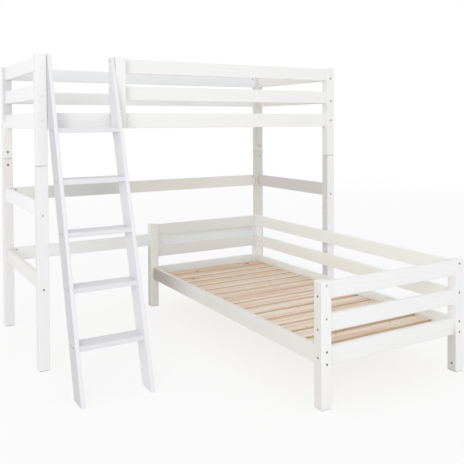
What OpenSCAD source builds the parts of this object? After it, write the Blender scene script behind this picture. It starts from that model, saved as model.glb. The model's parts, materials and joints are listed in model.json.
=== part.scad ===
// L shaped bunk bed: a single bed raised on leg extensions, with a ladder at its entry gap, and a second,
// identical single bed that stands on the floor under its right half, turned a quarter turn.
// +X runs along the loft bed, +Y to its back and +Z up. The origin is on the floor, at the middle of the
// box round the whole piece of furniture.
// A bed is drawn in its own frame: x along its length, y from its entry side to its guarded side, z from
// the bottom end of its corner posts.

/* [Mattress] */
// Length of the mattress that each bed takes
mattress_l = 2000; // [1900:10:2100]
// Width of the mattress that each bed takes
mattress_w = 900; // [800:10:1000]
// Room between each end of the mattress and the end rails
mattress_end_gap = 3; // [1:1:12]
// Room between each long side of the mattress and the side rails
mattress_side_gap = 1; // [1:1:12]

/* [Posts] */
// Side of the square section of every post and leg
post = 60; // [54:1:80]
// Height of a bed's corner posts
post_h = 618; // [590:1:700]
// Height of the leg extensions that raise the loft bed
leg_h = 1142; // [1000:1:1400]
// Width of the small bevel along every wooden edge
edge = 2; // [1:0.5:3]
// Width of the bevel round both ends of every post and leg
end_edge = 4; // [2:0.5:6]

/* [Rails] */
// Thickness of every rail
rail_t = 24; // [22:1:30]
// Height of the side rails and of the lowest end rails, which carry the slats
side_rail_h = 89; // [80:1:110]
// Height of the middle and top rails round a bed
guard_rail_h = 83; // [70:1:88]
// Height of the rails that tie the leg extensions together
leg_rail_h = 87; // [70:1:100]
// Height of the lower edge of the side rails above the bottom end of the posts
side_rail_z = 205; // [180:1:230]
// Distance of the upper edge of the top rails below the top of the posts
top_rail_drop = 5; // [3:1:30]
// Height from the lower edge of the middle rails to that of the top rails
guard_pitch = 160; // [140:1:175]
// Height of the lower edge of the lower leg rails above the floor
leg_low_rail_z = 439; // [300:1:600]
// Height of the lower edge of the upper leg rails above the floor
leg_high_rail_z = 853; // [750:1:900]
// Distance of a side rail's outer face behind the outer face of the posts
side_rail_inset = 20; // [16:1:24]
// Distance of an end rail's outer face behind the outer face of the posts
end_rail_inset = 18; // [16:1:24]
// Distance of a back leg rail's outer face behind the outer face of the legs
leg_back_rail_inset = 8; // [6:1:20]

/* [Slats] */
// Number of slats under each mattress
slat_count = 16; // [10:1:18]
// Width of a slat
slat_w = 98; // [60:1:98]
// Thickness of a slat
slat_t = 18; // [15:1:22]
// Gap between the end slats and the posts
slat_end_gap = 2; // [1:1:20]
// Gap between the ends of the slats and the side rails
slat_side_gap = 2; // [1:1:8]
// Thickness of the ledger strip inside each side rail
ledger_t = 24; // [18:1:40]
// Height of the ledger strip
ledger_h = 22; // [18:1:35]
// Distance from a post to the end of a ledger strip, which leaves the side rails' nuts free
ledger_end_gap = 38; // [36:1:42]

/* [Lower bed] */
// Distance from the loft's back face to the far end of the lower bed
low_set_in = 85; // [50:1:400]
// Gap between the lower bed's posts and the loft's right legs
low_gap = 6; // [4:1:120]

/* [Entry and ladder] */
// Width of the entry gap between the front left post and the entry post
entry_w = 386; // [340:1:460]
// Thickness of the ladder's stringers
stringer_t = 20; // [18:1:26]
// Width of the ladder's stringers
stringer_w = 118; // [100:1:130]
// Lean of the ladder from upright, in degrees
ladder_lean = 17.7; // [14:0.1:19]
// Height of the upright cut at the back of each stringer's top
cut_h = 265; // [240:1:270]
// Distance of that upright cut behind the front face of the posts
ladder_tuck = 28; // [24:1:32]
// Number of treads
tread_count = 5; // [5:1:5]
// Height of the middle of the first tread above the floor
first_tread_z = 259; // [200:1:270]
// Height of the middle of the top tread below the lower edge of the loft's side rail
top_tread_drop = 8; // [0:1:40]
// Thickness of a tread
tread_t = 25; // [20:1:32]
// Distance of a tread's front and back edges inside the edges of the stringers
tread_inset = 3; // [2:1:8]
// Depth of the housings that hold the treads' ends
housing = 8; // [4:1:10]

/* [Bolts and nuts] */
// Diameter of the rail bolts' shanks
bolt_d = 6; // [5:0.5:8]
// Diameter of the bolt heads
bolt_head_d = 12; // [10:0.5:14]
// Height of the bolt heads
bolt_head_h = 4; // [3:0.5:5]
// Depth of the recess that a bolt head sits in
bolt_recess = 5; // [4:0.5:6]
// Diameter of the barrel nuts in the rails
nut_d = 10; // [9:0.5:12]
// Length of the barrel nuts in the rails
nut_l = 16; // [12:1:18]
// Distance from the end of a rail to the middle of its barrel nut
nut_set_back = 25; // [20:1:35]
// Height between a rail's edge and the bolt nearest to it
bolt_edge = 15; // [13:1:20]
// Diameter of the dowels that stop the rails from turning
dowel_d = 8; // [6:1:10]
// Length of the dowels
dowel_l = 30; // [26:1:36]
// Length of the part of each dowel that sits in the post
dowel_in_post = 12; // [10:1:14]
// Height between a rail's edge and its dowel
dowel_edge = 20; // [16:1:24]
// Diameter of the studs that hold the posts on the legs
stud_d = 8; // [6:1:10]
// Diameter of the barrel nuts on those studs
stud_nut_d = 14; // [12:1:16]
// Length of the barrel nuts on those studs
stud_nut_l = 28; // [20:1:34]
// Distance of those barrel nuts from the joint between post and leg
stud_nut_z = 44; // [36:1:60]
// Clearance round bolts and studs
bolt_clear = 0.4; // [0.2:0.1:0.8]
// Clearance round nuts, dowels and screws
snug_clear = 0.1; // [0.05:0.05:0.2]

/* [Screws] */
// Diameter of the screws in the treads, the entry post and the ladder's top
screw_d = 5; // [4:0.5:6]
// Diameter of their heads
screw_head_d = 10; // [8:0.5:12]
// Height of their heads
screw_head_h = 3; // [2:0.5:3.5]
// Depth of the recess that a screw head sits in
screw_recess = 4; // [3.5:0.5:5]
// Length of the shank that holds in the far piece
screw_bite = 30; // [20:1:34]
// Distance between the two screws at each end of a tread
tread_screw_gap = 36; // [24:1:70]
// Height of the upper screw of the ladder's top below the top of the posts
ladder_screw_top = 22; // [16:1:40]
// Distance between the two screws at the top of each stringer
ladder_screw_gap = 170; // [120:1:200]
// Distance of the ladder's screws behind the front face of the posts
ladder_screw_y = 10; // [9:1:12]
// Distance of the entry post's screws from its edge by the gap
entry_screw_x = 44; // [42:1:48]
// Diameter of the slat screws
slat_screw_d = 4; // [3:0.5:5]
// Diameter of the slat screws' heads
slat_screw_head_d = 8; // [6:0.5:9]
// Height of the slat screws' heads
slat_screw_head_h = 2; // [1.5:0.5:3]
// Depth of the recess that a slat screw's head sits in
slat_screw_recess = 3; // [3:0.5:4]
// Length of a slat screw above the ledger
slat_screw_bite = 12; // [8:1:16]

/* [Hidden] */

$fn = 32;
// How far a cutting shape runs past the face that it starts from
cut = 1;
// How far a bolt or a stud runs past its nut, and its bore past its tip
tip = 3;
// Width and depth of a screw head's socket, as shares of the head's
socket_w = 0.5;
socket_depth = 0.6;

paint = [0.95, 0.95, 0.94];
pine = [0.88, 0.74, 0.60];
beech = [0.80, 0.66, 0.48];
steel = [0.42, 0.41, 0.40];

// ---- Sizes of one bed ----

side_inner = side_rail_inset + rail_t;
end_inner = end_rail_inset + rail_t;
side_axis = side_rail_inset + rail_t / 2;
end_axis = end_rail_inset + rail_t / 2;
leg_back_axis = leg_back_rail_inset + rail_t / 2;
bed_l = mattress_l + 2 * (mattress_end_gap + end_inner);
bed_w = mattress_w + 2 * (mattress_side_gap + side_inner);
side_rail_l = bed_l - 2 * post;
end_rail_l = bed_w - 2 * post;

// The three levels of rails, from the lowest up
low = 0;
mid = 1;
top = 2;
top_rail_z = post_h - top_rail_drop - guard_rail_h;
level_z = [side_rail_z, top_rail_z - guard_pitch, top_rail_z];
level_h = [side_rail_h, guard_rail_h, guard_rail_h];

ledger_l = side_rail_l - 2 * ledger_end_gap;
slat_z = side_rail_z + ledger_h;
slat_l = bed_w - 2 * (side_inner + slat_side_gap);
slat_x = post + slat_end_gap;
slat_pitch = (bed_l - 2 * slat_x - slat_w) / (slat_count - 1);

// ---- Sizes of the whole ----

loft_h = leg_h + post_h;
low_x = bed_l - post - low_gap - bed_w;
low_y = bed_w - low_set_in;
middle = [bed_l / 2, (low_y - bed_l + bed_w) / 2, 0];

// ---- Sizes of the ladder ----

lean_run = tan(ladder_lean);
stringer_depth = stringer_w / cos(ladder_lean);
tread_depth = stringer_depth - lean_run * tread_t - 2 * tread_inset;
tread_l = entry_w - 2 * (stringer_t - housing);
tread_pitch = (leg_h + side_rail_z - top_tread_drop - first_tread_z) / (tread_count - 1);
entry_right = post + entry_w;

// Depth of a stringer's back edge, and lower face and back edge of tread k, which counts from 0 at the foot
function stringer_back(z) = ladder_tuck - lean_run * (loft_h - cut_h - z);
function tread_z(k) = first_tread_z + k * tread_pitch - tread_t / 2;
function tread_back(k) = stringer_back(tread_z(k)) - tread_inset;

// ---- Places ----

// The floor frame is drawn from the outer corner of the loft's front left leg
module on_floor() translate(-middle) children();
module on_loft() on_floor() translate([0, 0, leg_h]) children();
module on_low() on_floor() translate([low_x, low_y, 0]) rotate(-90) children();

// A bed's corner is [i, j], with i = 0 at its left end and j = 0 at its front, and 1 at the other
corners = [[0, 0], [1, 0], [0, 1], [1, 1]];
loft_guarded = [[1, 0], [0, 1], [1, 1]];
low_guarded = [[0, 1], [1, 1]];
function corner_place(c) = [c[0] * (bed_l - post), c[1] * (bed_w - post), 0];
function post_axis(c) = corner_place(c) + [post / 2, post / 2, 0];

// A fixing is [place on the post's outer face, direction to the rail's inner face, direction of the bolt]
function end_fixing(c, z) = [
    [c[0] * bed_l + (1 - 2 * c[0]) * end_axis, c[1] * bed_w, z],
    [1 - 2 * c[0], 0, 0],
    [0, 1 - 2 * c[1], 0]
];
function side_fixing(c, z, axis) = [
    [c[0] * bed_l, c[1] * bed_w + (1 - 2 * c[1]) * axis, z],
    [0, 1 - 2 * c[1], 0],
    [1 - 2 * c[0], 0, 0]
];

// Draws its children with z along the bolt and x towards the rail's inner face
module along(f) {
    across = cross(f[2], f[1]);
    multmatrix([
        [f[1].x, across.x, f[2].x, f[0].x],
        [f[1].y, across.y, f[2].y, f[0].y],
        [f[1].z, across.z, f[2].z, f[0].z],
        [0, 0, 0, 1]
    ]) children();
}

// Bolts and dowels of the rails. End bolts sit low in their rails and guard bolts high, so that bolts that
// cross in a post miss each other.
function end_bolt_z(level) = level == low ? side_rail_z + side_rail_h / 2 : level_z[level] + bolt_edge;
function end_dowel_z(level) = level_z[level] + level_h[level] - dowel_edge;
function guard_bolt_z(level) = level_z[level] + guard_rail_h - bolt_edge;
function guard_dowel_z(level) = level_z[level] + dowel_edge;
side_bolt_z = [side_rail_z + bolt_edge, side_rail_z + side_rail_h - bolt_edge];

function end_bolt(c, level) = end_fixing(c, end_bolt_z(level));
function end_dowel(c, level) = end_fixing(c, end_dowel_z(level));
function guard_bolt(c, level) = side_fixing(c, guard_bolt_z(level), side_axis);
function guard_dowel(c, level) = side_fixing(c, guard_dowel_z(level), side_axis);
function side_bolts(c) = [for (z = side_bolt_z) side_fixing(c, z, side_axis)];
function corner_bolts(c) = [for (level = [low, mid, top]) end_bolt(c, level), each side_bolts(c)];
function corner_dowels(c) = [for (level = [low, mid, top]) end_dowel(c, level)];
function guard_bolts(c) = [for (level = [mid, top]) guard_bolt(c, level)];
function guard_dowels(c) = [for (level = [mid, top]) guard_dowel(c, level)];

// The leg rails: two levels at the back and at the left end, and only the upper one at the right end, where
// the lower bed runs through
lower = 0;
upper = 1;
leg_rail_z = [leg_low_rail_z, leg_high_rail_z];
function leg_levels(c) = c[0] == 0 ? [lower, upper] : [upper];
function leg_end_bolt(c, level) = end_fixing(c, leg_rail_z[level] + bolt_edge);
function leg_end_dowel(c, level) = end_fixing(c, leg_rail_z[level] + leg_rail_h - dowel_edge);
function leg_back_bolt(c, level) = side_fixing(c, leg_rail_z[level] + leg_rail_h - bolt_edge, leg_back_axis);
function leg_back_dowel(c, level) = side_fixing(c, leg_rail_z[level] + dowel_edge, leg_back_axis);
function leg_bolts(c) = [
    for (level = leg_levels(c)) leg_end_bolt(c, level),
    if (c[1] == 1) each [for (level = [lower, upper]) leg_back_bolt(c, level)]
];
function leg_dowels(c) = [
    for (level = leg_levels(c)) leg_end_dowel(c, level),
    if (c[1] == 1) each [for (level = [lower, upper]) leg_back_dowel(c, level)]
];

// Every bolt and dowel that a bed uses
function bed_bolts(guarded) = [
    for (c = corners) each corner_bolts(c), for (c = guarded) each guard_bolts(c)
];
function bed_dowels(guarded) = [
    for (c = corners) each corner_dowels(c), for (c = guarded) each guard_dowels(c)
];
function all_leg_bolts() = [for (c = corners) each leg_bolts(c)];
function all_leg_dowels() = [for (c = corners) each leg_dowels(c)];

// ---- Boards ----

module bevelled(a, b, bevel = edge) polygon([
    [bevel, 0], [a - bevel, 0], [a, bevel], [a, b - bevel],
    [a - bevel, b], [bevel, b], [0, b - bevel], [0, bevel]
]);

// Boards along x and along y, with their long edges bevelled
module board_x(l, t, h, bevel = edge)
    rotate([90, 0, 90]) linear_extrude(l) bevelled(t, h, bevel);
module board_y(l, t, h, bevel = edge)
    translate([0, l, 0]) rotate([90, 0, 0]) linear_extrude(l) bevelled(t, h, bevel);

// A square post with all its edges bevelled, more at its ends than along it
module post_block(h) intersection() {
    linear_extrude(h) bevelled(post, post);
    board_x(post, post, h, end_edge);
    board_y(post, post, h, end_edge);
}

// ---- Drillings, each along a fixing ----

bolt_l = post - bolt_recess + nut_set_back + nut_d / 2 + tip;
nut_bore_l = rail_t / 2 + nut_l / 2;
stud_half_l = stud_nut_z + stud_nut_d / 2 + tip;

module bolt_drilling() {
    translate([0, 0, -cut]) cylinder(h = bolt_recess + cut, d = bolt_head_d + 2 * bolt_clear);
    cylinder(h = bolt_recess + bolt_l + tip, d = bolt_d + 2 * bolt_clear);
}

module nut_drilling() translate([rail_t / 2 - nut_bore_l, 0, post + nut_set_back])
    rotate([0, 90, 0]) cylinder(h = nut_bore_l + cut, d = nut_d + 2 * snug_clear);

module dowel_drilling() translate([0, 0, post - dowel_in_post - snug_clear])
    cylinder(h = dowel_l + 2 * snug_clear, d = dowel_d + 2 * snug_clear);

// From a post's end face upwards, on the post's axis, with the nut's bore from the post's inner face
module stud_drilling(c) {
    translate([0, 0, -cut]) cylinder(h = stud_half_l + tip + cut, d = stud_d + 2 * bolt_clear);
    rotate(180 * c[1]) translate([0, post / 2 + cut, stud_nut_z]) rotate([90, 0, 0])
        cylinder(h = post / 2 + stud_nut_l / 2 + cut, d = stud_nut_d + 2 * snug_clear);
}

module screw_drilling(t, bite, d, recess, head_d) {
    translate([0, 0, -cut]) cylinder(h = recess + cut, d = head_d + 2 * bolt_clear);
    cylinder(h = t + bite + snug_clear, d = d + 2 * snug_clear);
}

module wood_screw_drilling(t) screw_drilling(t, screw_bite, screw_d, screw_recess, screw_head_d);
module slat_screw_drilling()
    screw_drilling(ledger_h, slat_screw_bite, slat_screw_d, slat_screw_recess, slat_screw_head_d);

// ---- Fasteners, each along a fixing ----

// Round head with a six sided socket below z = 0, and the shank above
module headed(d, l, head_d, head_h) difference() {
    union() {
        cylinder(h = l, d = d);
        translate([0, 0, -head_h]) cylinder(h = head_h, d = head_d);
    }
    translate([0, 0, -head_h - cut])
        cylinder(h = head_h * socket_depth + cut, d = head_d * socket_w, $fn = 6);
}

module rail_bolt() translate([0, 0, bolt_recess]) headed(bolt_d, bolt_l, bolt_head_d, bolt_head_h);

// A screw through a piece of thickness t, with its head in a recess
module screw(t, bite, d, recess, head_d, head_h)
    translate([0, 0, recess]) headed(d, t - recess + bite, head_d, head_h);

module wood_screw(t) screw(t, screw_bite, screw_d, screw_recess, screw_head_d, screw_head_h);
module slat_screw() screw(
    ledger_h, slat_screw_bite, slat_screw_d, slat_screw_recess, slat_screw_head_d, slat_screw_head_h
);

// A round bar along x with a threaded hole along z
module barrel_nut(d, l, thread_d) difference() {
    rotate([0, 90, 0]) cylinder(h = l, d = d, center = true);
    cylinder(h = 2 * d, d = thread_d + 2 * snug_clear, center = true);
}

module rail_nut() translate([0, 0, post + nut_set_back]) barrel_nut(nut_d, nut_l, bolt_d);
module dowel() translate([0, 0, post - dowel_in_post]) cylinder(h = dowel_l, d = dowel_d);

// ---- Posts and legs ----

// Every corner post of a bed has the holes for guard rails, used or not
module bed_post(c, guarded) color(paint) difference() {
    translate(corner_place(c)) post_block(post_h);
    for (f = concat(corner_bolts(c), guard_bolts(c))) along(f) bolt_drilling();
    for (f = concat(corner_dowels(c), guarded ? guard_dowels(c) : [])) along(f) dowel_drilling();
    translate(post_axis(c)) stud_drilling(c);
}

module leg(c) color(paint) difference() {
    translate(corner_place(c)) post_block(leg_h);
    for (f = leg_bolts(c)) along(f) bolt_drilling();
    for (f = leg_dowels(c)) along(f) dowel_drilling();
    translate(post_axis(c) + [0, 0, leg_h]) mirror([0, 0, 1]) stud_drilling(c);
}

// The entry post stands against the front of the rails, over their full height
module entry_post() color(paint) difference() {
    translate([entry_right, side_rail_inset - post, side_rail_z]) post_block(post_h - side_rail_z);
    at_entry_screws([low, mid, top]) wood_screw_drilling(rail_t);
    at_ladder_screws(1) wood_screw_drilling(stringer_t);
}

// ---- Rails ----

module drilled_for(bolts, dowels) difference() {
    children();
    for (f = bolts) along(f) {
        bolt_drilling();
        nut_drilling();
    }
    for (f = dowels) along(f) dowel_drilling();
}

module side_rail(j) color(paint) drilled_for([for (i = [0, 1]) each side_bolts([i, j])], [])
    translate([post, j == 0 ? side_rail_inset : bed_w - side_inner, side_rail_z])
        board_x(side_rail_l, rail_t, side_rail_h);

// A guard rail on side j, from x = from to the right post, bolted to the posts at the ends that it reaches
module guard_rail(level, j, from, ends) color(paint) drilled_for(
    [for (i = ends) guard_bolt([i, j], level)],
    [for (i = ends) guard_dowel([i, j], level)]
) translate([from, j == 0 ? side_rail_inset : bed_w - side_inner, level_z[level]])
    board_x(bed_l - post - from, rail_t, guard_rail_h);

module back_guard(level) guard_rail(level, 1, post, [0, 1]);

module front_guard(level) difference() {
    guard_rail(level, 0, entry_right, [1]);
    at_entry_screws([level]) wood_screw_drilling(rail_t);
}

module loft_front_side_rail() on_loft() difference() {
    side_rail(0);
    at_entry_screws([low]) wood_screw_drilling(rail_t);
}

module end_rail(i, level) color(paint) drilled_for(
    [for (j = [0, 1]) end_bolt([i, j], level)],
    [for (j = [0, 1]) end_dowel([i, j], level)]
) translate([i == 0 ? end_rail_inset : bed_l - end_inner, post, level_z[level]])
    board_y(end_rail_l, rail_t, level_h[level]);

module leg_back_rail(level) color(paint) drilled_for(
    [for (i = [0, 1]) leg_back_bolt([i, 1], level)],
    [for (i = [0, 1]) leg_back_dowel([i, 1], level)]
) translate([post, bed_w - leg_back_rail_inset - rail_t, leg_rail_z[level]])
    board_x(side_rail_l, rail_t, leg_rail_h);

module leg_end_rail(i, level) color(paint) drilled_for(
    [for (j = [0, 1]) leg_end_bolt([i, j], level)],
    [for (j = [0, 1]) leg_end_dowel([i, j], level)]
) translate([i == 0 ? end_rail_inset : bed_l - end_inner, post, leg_rail_z[level]])
    board_y(end_rail_l, rail_t, leg_rail_h);

// ---- Slats ----

module slat_ledgers() color(pine) difference() {
    for (y = [side_inner, bed_w - side_inner - ledger_t])
        translate([post + ledger_end_gap, y, side_rail_z]) board_x(ledger_l, ledger_t, ledger_h);
    at_slat_screws() slat_screw_drilling();
}

module slats() color(pine) difference() {
    for (n = [0 : slat_count - 1])
        translate([slat_x + n * slat_pitch, side_inner + slat_side_gap, slat_z])
            board_y(slat_l, slat_w, slat_t);
    at_slat_screws() slat_screw_drilling();
}

// One screw at each end of each slat, from below up through the ledger into the slat
module at_slat_screws() for (n = [0 : slat_count - 1], y = [side_inner, bed_w - side_inner - ledger_t])
    translate([slat_x + slat_w / 2 + n * slat_pitch, y + ledger_t / 2, side_rail_z]) children();

// ---- Entry post's and ladder's screws, in the loft bed's frame ----

// Two on each level, from the rail's inner face forwards into the entry post; in the side rail both sit
// above the slats
function entry_screw_z(level) = [
    level == low ? ledger_h + slat_t + screw_head_d : bolt_edge,
    level_h[level] - bolt_edge
];
module at_entry_screws(levels)
    for (level = levels, z = entry_screw_z(level))
        translate([entry_right + entry_screw_x, side_inner, level_z[level] + z])
            rotate([90, 0, 0]) children();

// Two at the top of each stringer, from its inner face into the post beside it; side 0 is the left one
module at_ladder_screws(side)
    for (n = [0, 1])
        translate([
            side == 0 ? post + stringer_t : entry_right - stringer_t,
            ladder_screw_y,
            post_h - ladder_screw_top - n * ladder_screw_gap
        ]) rotate([0, side == 0 ? -90 : 90, 0]) children();

// ---- Ladder, in the floor frame ----

// Two at each end of tread k, from the stringer's outer face
module at_tread_screws(k, side)
    for (y = [-tread_screw_gap / 2, tread_screw_gap / 2])
        translate([
            side == 0 ? post : entry_right,
            tread_back(k) - tread_depth / 2 + y,
            tread_z(k) + tread_t / 2
        ]) rotate([0, side == 0 ? 90 : -90, 0]) children();

module tread_board(k) translate([post + stringer_t - housing, tread_back(k) - tread_depth, tread_z(k)])
    board_x(tread_l, tread_depth, tread_t);

// A stringer is a straight leaning board with a level foot, a level top and an upright cut at its back
module stringer(side) color(paint) difference() {
    intersection() {
        translate([side == 0 ? post : entry_right - stringer_t, ladder_tuck, loft_h - cut_h])
            rotate([-ladder_lean, 0, 0]) translate([0, -stringer_w, -loft_h])
                linear_extrude(2 * loft_h) bevelled(stringer_t, stringer_w);
        translate([post, ladder_tuck - loft_h, 0]) cube([entry_w, loft_h, loft_h]);
    }
    for (k = [0 : tread_count - 1]) {
        tread_board(k);
        at_tread_screws(k, side) wood_screw_drilling(stringer_t - housing);
    }
    translate([0, 0, leg_h]) at_ladder_screws(side) wood_screw_drilling(stringer_t);
}

module ladder_tread(k) on_floor() color(paint) difference() {
    tread_board(k);
    for (side = [0, 1]) at_tread_screws(k, side) wood_screw_drilling(stringer_t - housing);
}

// ---- Fastener groups ----

module rail_bolts() color(steel) {
    on_loft() for (f = bed_bolts(loft_guarded)) along(f) rail_bolt();
    on_floor() for (f = all_leg_bolts()) along(f) rail_bolt();
    on_low() for (f = bed_bolts(low_guarded)) along(f) rail_bolt();
}

module rail_barrel_nuts() color(steel) {
    on_loft() for (f = bed_bolts(loft_guarded)) along(f) rail_nut();
    on_floor() for (f = all_leg_bolts()) along(f) rail_nut();
    on_low() for (f = bed_bolts(low_guarded)) along(f) rail_nut();
}

module rail_dowels() color(beech) {
    on_loft() for (f = bed_dowels(loft_guarded)) along(f) dowel();
    on_floor() for (f = all_leg_dowels()) along(f) dowel();
    on_low() for (f = bed_dowels(low_guarded)) along(f) dowel();
}

module stacking_studs() color(steel) on_loft()
    for (c = corners) translate(post_axis(c)) cylinder(h = 2 * stud_half_l, d = stud_d, center = true);

module stacking_barrel_nuts() color(steel) on_loft()
    for (c = corners, z = [-stud_nut_z, stud_nut_z])
        translate(post_axis(c) + [0, 0, z]) rotate(90) barrel_nut(stud_nut_d, stud_nut_l, stud_d);

module slat_screws() color(steel) {
    on_loft() at_slat_screws() slat_screw();
    on_low() at_slat_screws() slat_screw();
}

module tread_screws() color(steel) on_floor()
    for (k = [0 : tread_count - 1], side = [0, 1]) at_tread_screws(k, side) wood_screw(stringer_t - housing);

module entry_post_screws() color(steel) on_loft() at_entry_screws([low, mid, top]) wood_screw(rail_t);

module ladder_top_screws() color(steel) on_loft()
    for (side = [0, 1]) at_ladder_screws(side) wood_screw(stringer_t);

// The front left post also takes the screws of the ladder's left stringer
module loft_post_front_left() on_loft() difference() {
    bed_post([0, 0], false);
    at_ladder_screws(0) wood_screw_drilling(stringer_t);
}

// ---- Nodes ----

loft_post_front_left();
on_loft() bed_post([1, 0], true);  // loft_post_front_right
on_loft() bed_post([0, 1], true);  // loft_post_back_left
on_loft() bed_post([1, 1], true);  // loft_post_back_right
loft_front_side_rail();
on_loft() side_rail(1);  // loft_back_side_rail
on_loft() front_guard(mid);  // loft_front_mid_guard
on_loft() front_guard(top);  // loft_front_top_guard
on_loft() back_guard(mid);  // loft_back_mid_guard
on_loft() back_guard(top);  // loft_back_top_guard
on_loft() entry_post();  // loft_entry_post
on_loft() end_rail(0, low);  // loft_left_end_low_rail
on_loft() end_rail(0, mid);  // loft_left_end_mid_rail
on_loft() end_rail(0, top);  // loft_left_end_top_rail
on_loft() end_rail(1, low);  // loft_right_end_low_rail
on_loft() end_rail(1, mid);  // loft_right_end_mid_rail
on_loft() end_rail(1, top);  // loft_right_end_top_rail
on_loft() slat_ledgers();  // loft_slat_ledgers
on_loft() slats();  // loft_slats
on_floor() leg([0, 0]);  // leg_front_left
on_floor() leg([1, 0]);  // leg_front_right
on_floor() leg([0, 1]);  // leg_back_left
on_floor() leg([1, 1]);  // leg_back_right
on_floor() leg_back_rail(upper);  // leg_back_upper_rail
on_floor() leg_back_rail(lower);  // leg_back_lower_rail
on_floor() leg_end_rail(0, upper);  // leg_left_upper_rail
on_floor() leg_end_rail(0, lower);  // leg_left_lower_rail
on_floor() leg_end_rail(1, upper);  // leg_right_upper_rail
on_floor() stringer(0);  // ladder_left_stringer
on_floor() stringer(1);  // ladder_right_stringer
ladder_tread(0);  // ladder_tread_1
ladder_tread(1);  // ladder_tread_2
ladder_tread(2);  // ladder_tread_3
ladder_tread(3);  // ladder_tread_4
ladder_tread(4);  // ladder_tread_5
on_low() bed_post([0, 0], false);  // low_post_far_left
on_low() bed_post([0, 1], true);  // low_post_far_right
on_low() bed_post([1, 0], false);  // low_post_near_left
on_low() bed_post([1, 1], true);  // low_post_near_right
on_low() side_rail(0);  // low_left_side_rail
on_low() side_rail(1);  // low_right_side_rail
on_low() back_guard(mid);  // low_right_mid_guard
on_low() back_guard(top);  // low_right_top_guard
on_low() end_rail(0, low);  // low_far_end_low_rail
on_low() end_rail(0, mid);  // low_far_end_mid_rail
on_low() end_rail(0, top);  // low_far_end_top_rail
on_low() end_rail(1, low);  // low_near_end_low_rail
on_low() end_rail(1, mid);  // low_near_end_mid_rail
on_low() end_rail(1, top);  // low_near_end_top_rail
on_low() slat_ledgers();  // low_slat_ledgers
on_low() slats();  // low_slats
rail_bolts();
rail_barrel_nuts();
rail_dowels();
stacking_studs();
stacking_barrel_nuts();
slat_screws();
tread_screws();
entry_post_screws();
ladder_top_screws();
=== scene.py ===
# %% [markdown]
# # An L shaped bunk bed in white paint and bare pine
#
# The construction comes from the packed model: two equal single beds, one of them raised on leg extensions,
# with a leaning ladder. This lesson gives it its looks. We load the model, write a small language for
# materials, finish each kind of wood and metal, make the slats as eased boards, and light the whole
# like a catalogue picture.

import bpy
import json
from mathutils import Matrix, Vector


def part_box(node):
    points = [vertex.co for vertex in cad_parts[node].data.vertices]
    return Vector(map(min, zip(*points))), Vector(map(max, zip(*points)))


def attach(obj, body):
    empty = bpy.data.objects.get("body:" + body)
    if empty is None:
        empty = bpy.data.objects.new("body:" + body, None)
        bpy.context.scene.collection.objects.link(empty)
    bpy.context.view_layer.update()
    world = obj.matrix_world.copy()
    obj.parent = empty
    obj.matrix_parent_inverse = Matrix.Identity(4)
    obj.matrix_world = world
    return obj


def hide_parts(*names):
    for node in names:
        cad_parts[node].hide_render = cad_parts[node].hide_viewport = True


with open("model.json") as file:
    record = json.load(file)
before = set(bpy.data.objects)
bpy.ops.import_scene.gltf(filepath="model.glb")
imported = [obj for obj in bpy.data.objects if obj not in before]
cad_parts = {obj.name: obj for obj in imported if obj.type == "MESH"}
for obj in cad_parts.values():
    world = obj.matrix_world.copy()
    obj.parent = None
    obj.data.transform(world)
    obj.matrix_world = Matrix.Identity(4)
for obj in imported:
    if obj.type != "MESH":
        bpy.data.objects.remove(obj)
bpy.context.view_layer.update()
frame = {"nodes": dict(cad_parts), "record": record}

import fnmatch
import json
import math
from collections import namedtuple

import bpy
import numpy as np
from mathutils import Matrix, Vector

nodes = frame["nodes"]
scene = bpy.context.scene

# %% [markdown]
# ## A small language for materials
#
# A finish such as painted pine is a formula: grain is noise that is stretched along the board, a growth ring
# is a wave of the distance from the middle of the tree. Node trees hide such formulas behind boxes and
# strings. So a Wire stands for one output of a node, and arithmetic on wires adds the Math nodes. A Finish
# holds the nodes of one material, or of the sky, and its method `add` makes any other node.

# %% Wires and finishes
class Wire:
    """One output of a node. Arithmetic on wires adds Math nodes to the same finish."""

    def __init__(self, finish, socket):
        self.finish = finish
        self.socket = socket

    def maths(self, operation, *others):
        """A Math node of that operation on this wire and then the others."""
        return self.finish.maths(operation, self, *others)

    def __add__(self, other):
        return self.maths("ADD", other)

    def __sub__(self, other):
        return self.maths("SUBTRACT", other)

    def __mul__(self, other):
        return self.maths("MULTIPLY", other)

    def __truediv__(self, other):
        return self.maths("DIVIDE", other)

    def __rsub__(self, other):
        return self.finish.maths("SUBTRACT", other, self)

    def __rtruediv__(self, other):
        return self.finish.maths("DIVIDE", other, self)

    __radd__ = __add__
    __rmul__ = __mul__


class Finish:
    """The nodes of one material, or of a world."""

    def __init__(self, owner):
        owner.use_nodes = True
        self.owner = owner
        self.tree = owner.node_tree
        self.tree.nodes.clear()

    def add(self, kind, settings=None, inputs=None, output=0):
        """A node of that kind: its settings first, then the values or wires of its inputs."""
        node = self.tree.nodes.new(kind)
        for key, value in (settings or {}).items():
            setattr(node, key, value)
        for key, value in (inputs or {}).items():
            socket = find_socket(node.inputs, key)
            if isinstance(value, Wire):
                self.tree.links.new(value.socket, socket)
            else:
                socket.default_value = value
        return Wire(self, find_socket(node.outputs, output))

    def maths(self, operation, *values):
        """A Math node of that operation on the values, in the order given."""
        return self.add("ShaderNodeMath", {"operation": operation}, dict(enumerate(values)))

    def shade(self, shader, output="ShaderNodeOutputMaterial"):
        """Joins a shader to the output, and gives the finished material or world."""
        end = self.tree.nodes.new(output)
        self.tree.links.new(shader.socket, end.inputs["Surface"])
        return self.owner


def find_socket(sockets, key):
    """A socket by its number, its identifier or its name."""
    if isinstance(key, int):
        return sockets[key]
    by_identifier = {socket.identifier: socket for socket in sockets}
    return by_identifier.get(key) or sockets[key]


def new_finish(name):
    """A finish for a new material of that name."""
    return Finish(bpy.data.materials.new(name))


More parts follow.
